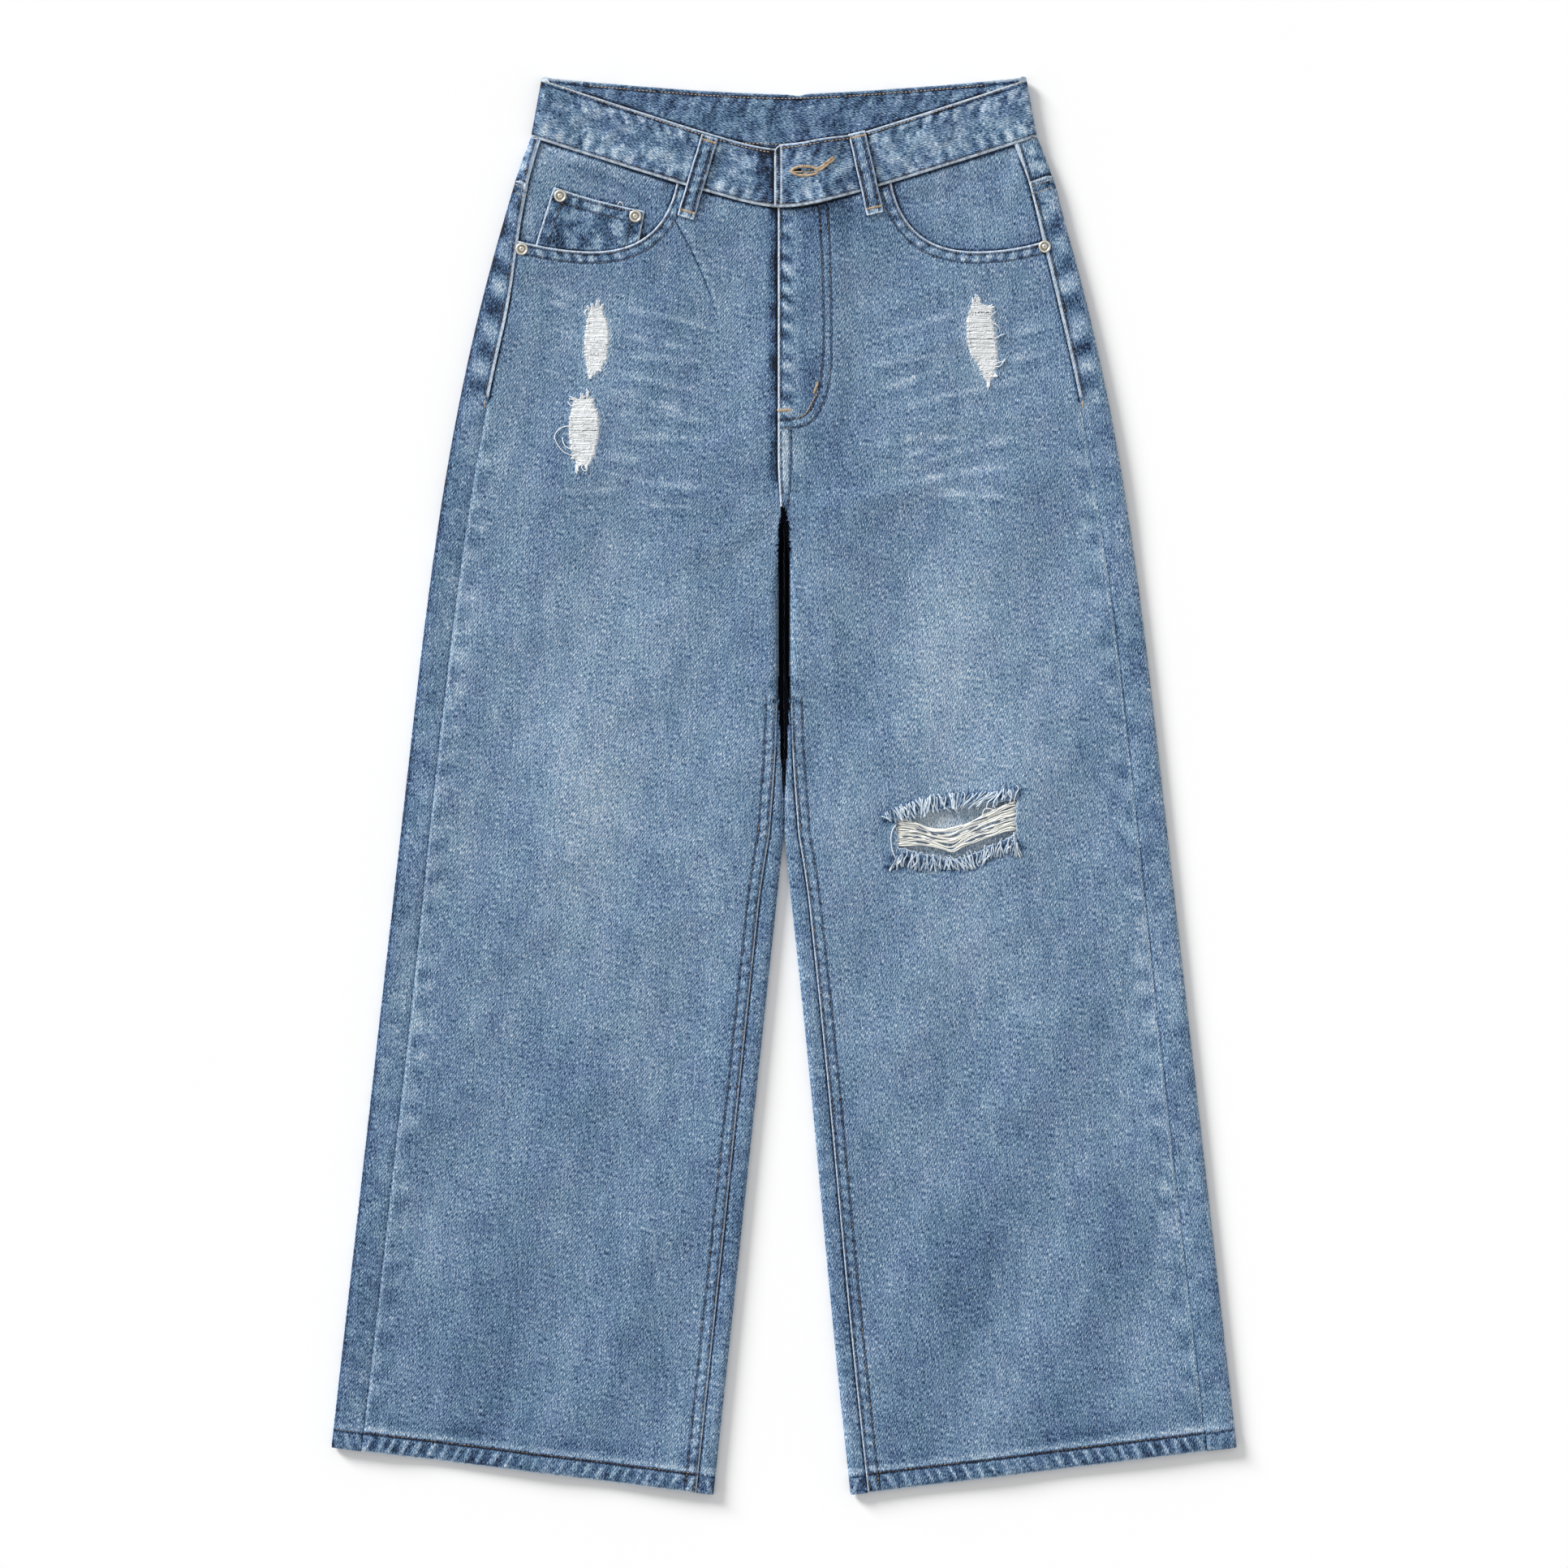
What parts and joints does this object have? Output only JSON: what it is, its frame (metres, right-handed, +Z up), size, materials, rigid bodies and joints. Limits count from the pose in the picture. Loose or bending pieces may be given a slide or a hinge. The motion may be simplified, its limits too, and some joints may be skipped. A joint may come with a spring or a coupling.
{
  "type": "ripped jeans",
  "caption": "Wide-leg ripped jeans laid out flat on their back, with frayed slashes on the thighs and an open tear at one knee.",
  "frame": {"origin": "on the table, under the middle of the garment's bounding box", "axes": "+Z up from the table, +Y from the hems to the waist, +X to the wearer's left, the right-hand side as one looks down on the front"},
  "size_m": [0.652, 1.0202, 0.0124],
  "materials": {
    "denim": "matt washed cotton twill, faded over the thighs and knees, with pale worn seam edges",
    "denim_band": "matt washed cotton twill, creased and worn along both edges",
    "weft_threads": "loose undyed cotton threads",
    "stitching": "faded tan topstitching thread",
    "rivet_metal": "pale champagne nickel, worn bright on its rim",
    "zip_metal": "dull brass"
  },
  "bodies": {
    "root": {"front_left": "denim", "front_right": "denim", "back_left": "denim", "back_right": "denim", "yoke_left": "denim", "yoke_right": "denim", "waistband_left": "denim_band", "waistband_right": "denim_band", "waistband_back": "denim_band", "pocket_facing_left": "denim", "pocket_facing_right": "denim", "coin_pocket": "denim", "fly_facing": "denim", "zip": "zip_metal", "belt_loop_front_left": "denim_band", "belt_loop_front_right": "denim_band", "belt_loop_back_left": "denim_band", "belt_loop_back_right": "denim_band", "belt_loop_back_centre": "denim_band", "back_pocket_left": "denim", "back_pocket_right": "denim", "rivet_coin_outer": "rivet_metal", "rivet_coin_inner": "rivet_metal", "rivet_pocket_right": "rivet_metal", "rivet_pocket_left": "rivet_metal", "waist_button": "rivet_metal", "rip_threads_thigh_right_upper": "weft_threads", "rip_threads_thigh_right_lower": "weft_threads", "rip_threads_thigh_left": "weft_threads", "rip_threads_knee": "weft_threads", "fringe_knee_upper": "denim", "fringe_knee_lower": "denim"}
  },
  "joints": []
}
